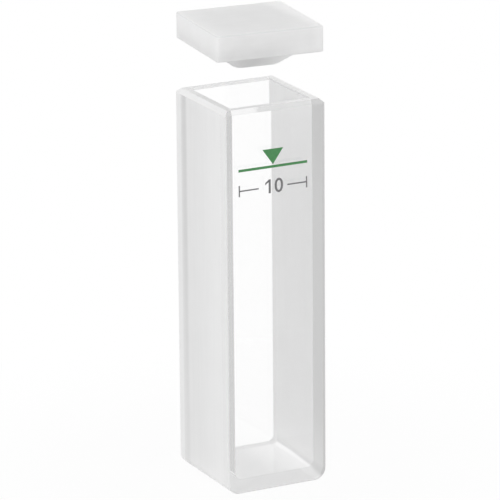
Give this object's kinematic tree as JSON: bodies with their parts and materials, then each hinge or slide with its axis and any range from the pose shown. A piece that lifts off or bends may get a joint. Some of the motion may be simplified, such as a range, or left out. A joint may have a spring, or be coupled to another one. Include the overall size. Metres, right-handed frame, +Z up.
{
  "type": "glass cuvette",
  "caption": "Square glass sample cell: clear windows fused to a U-shaped frame of ground glass, open at the top, with a loose square lid whose tapered plug hangs above the mouth.",
  "frame": {"origin": "centre of the cell's foot, on the surface that it stands on", "axes": "+X across the windows, +Y along the light path from the front window to the rear one, +Z up"},
  "size_m": [0.0138, 0.0138, 0.0536],
  "materials": {
    "ground_glass": "finely ground outside, frosted",
    "clear_glass": "polished faces, ground edges",
    "lid_plastic": "waxy white, satin"
  },
  "bodies": {
    "root": {"frame": "ground_glass", "front_window": "clear_glass", "rear_window": "clear_glass", "lid": "lid_plastic"}
  },
  "joints": []
}
